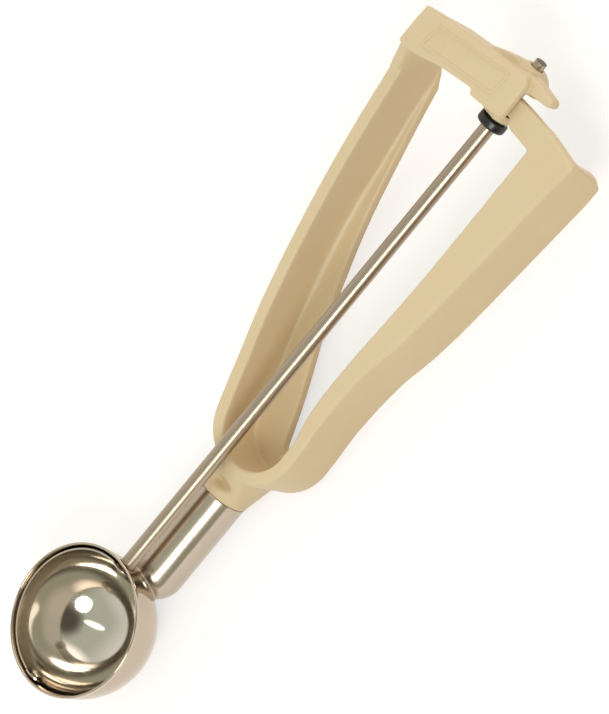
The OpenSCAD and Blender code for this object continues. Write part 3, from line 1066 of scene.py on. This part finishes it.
plastic = plastic_material()
plain = steel_material("steel_pressed", EVEN, 500, 0.12, 0.24)
looks = {
    "bowl_shell": steel_material("steel_spun", ROUND, 60, 0.05, 0.12, STEEL_BOWL, inside=STEEL_INSIDE),
    "stem_sleeve": steel_material("steel_drawn", ALONG, 900, 0.17, 0.25),
    # the rod in the darker steel, a painted shade
    "spindle_rod": steel_material("steel_ground", ALONG, 1100, 0.28, 0.38, STEEL_ROD, cut=0.1163),
    "spindle_bush": black_material(),
}
for piece in (moulding, grip, teeth, label):
    dress(piece, plastic)
for piece, _, _ in METAL:
    dress(piece, looks.get(piece.name, plain))
for material_slot in frame["nodes"]["pinion_pin"].material_slots:
    material_slot.material = plain


# ---------------------------------------------------------------- camera, floor and light

# the photo is nearly a parallel projection, so the camera stands far off; LONG_SIDE is the picture's
# longer side at the target, in metres
VIEW = Vector((0.297821, -0.538217, 0.788432)).normalized()
RIGHT = Vector((0.607284, -0.530429, -0.591487))
UP = Vector((0.736554, 0.654954, 0.168875))
DISTANCE = 7.0
TARGET = Vector((-2.1116, 15.2872, -2.865)) * MM
LONG_SIDE = 0.1987855
SENSOR = 36

camera_data = bpy.data.cameras.new("camera")
camera = linked("camera", camera_data)
turn = Matrix((RIGHT, UP, VIEW)).transposed().to_4x4()
camera.matrix_world = Matrix.Translation(TARGET + VIEW * DISTANCE) @ turn
camera_data.sensor_width = SENSOR
camera_data.lens = SENSOR * DISTANCE / LONG_SIDE
camera_data.clip_start = 0.05
camera_data.clip_end = 50
bpy.context.scene.camera = camera
bpy.context.scene.view_settings.view_transform = "Standard"


FLOOR_HALF = 8.0
corners = [(x * FLOOR_HALF, y * FLOOR_HALF, 0) for x, y in ((-1, -1), (1, -1), (1, 1), (-1, 1))]
floor_mesh = bpy.data.meshes.new("floor")
floor_mesh.from_pydata(corners, [], [(0, 1, 2, 3)])
floor = linked("floor", floor_mesh)


def floor_material():
    """White to the eye and in the metal, with the object's shadow; warm in the light that it throws back."""
    material = bpy.data.materials.new("pale_floor")
    material.use_nodes = True
    material.node_tree.nodes.clear()
    g = Graph(material.node_tree)
    diffuse, glow = g.node("ShaderNodeBsdfDiffuse"), g.node("ShaderNodeEmission")
    diffuse.inputs["Color"].default_value = (0.62, 0.55, 0.50, 1)
    glow.inputs["Color"].default_value = (0.53, 0.565, 0.59, 1)
    path = g.node("ShaderNodeLightPath").outputs
    seen = g.math("MAXIMUM", path["Is Camera Ray"], path["Is Glossy Ray"])
    seen = g.math("MAXIMUM", seen, path["Is Transmission Ray"])
    g.link(seen, glow.inputs["Strength"])
    both = g.node("ShaderNodeAddShader")
    g.link(diffuse.outputs[0], both.inputs[0])
    g.link(glow.outputs[0], both.inputs[1])
    g.link(both.outputs[0], g.node("ShaderNodeOutputMaterial").inputs["Surface"])
    return material


floor_mesh.materials.append(floor_material())


def lamp(name, direction, distance, length, width, radiance, along=(1, 0, 0)):
    """A soft oval lamp at a direction and distance from the bowl, with its length along another direction."""
    data = bpy.data.lights.new(name, "AREA")
    data.shape = "ELLIPSE"
    data.size, data.size_y = length, width
    data.energy = radiance * math.pi * (math.pi * length * width / 4)
    obj = linked(name, data)
    towards = Vector(direction).normalized()
    across = towards.cross(Vector(along)).normalized()
    turn = Matrix((across.cross(towards), across, towards)).transposed()
    obj.matrix_world = Matrix.Translation(Vector(BOWL * MM) + towards * distance) @ turn.to_4x4()
    obj.visible_camera = False


lamp("key", (-0.120, -0.730, 0.673), 1.28, 0.55, 0.55, 8.8)
lamp("overhead", (0.119, -0.243, 0.963), 1.3, 0.82, 0.20, 1.6, along=(-0.36, 0.89, 0.27))


def studio_world():
    """A grey-green room, pale beyond the head and the fixed lever, with a dark place by the camera."""
    world = bpy.data.worlds.new("studio")
    bpy.context.scene.world = world
    world.use_nodes = True
    g = Graph(world.node_tree)
    colour = g.mix(g.lobe(95, 15, 20, 75), (0.56, 0.60, 0.52), (0.92, 0.90, 0.86))
    for azimuth, elevation, inner, outer, shade in (
        (165, 20, 20, 55, (0.82, 0.84, 0.80)),
        (12, 6, 12, 42, (2.45, 2.27, 2.10)),
        (-105, 2, 20, 48, (0.42, 0.43, 0.35)),
        (-59, 31, 10, 32, (0.11, 0.095, 0.08)),
    ):
        colour = g.mix(g.lobe(azimuth, elevation, inner, outer), colour, shade)
    background = world.node_tree.nodes["Background"]
    g.link(colour, background.inputs["Color"])
    background.inputs["Strength"].default_value = 1.0


studio_world()
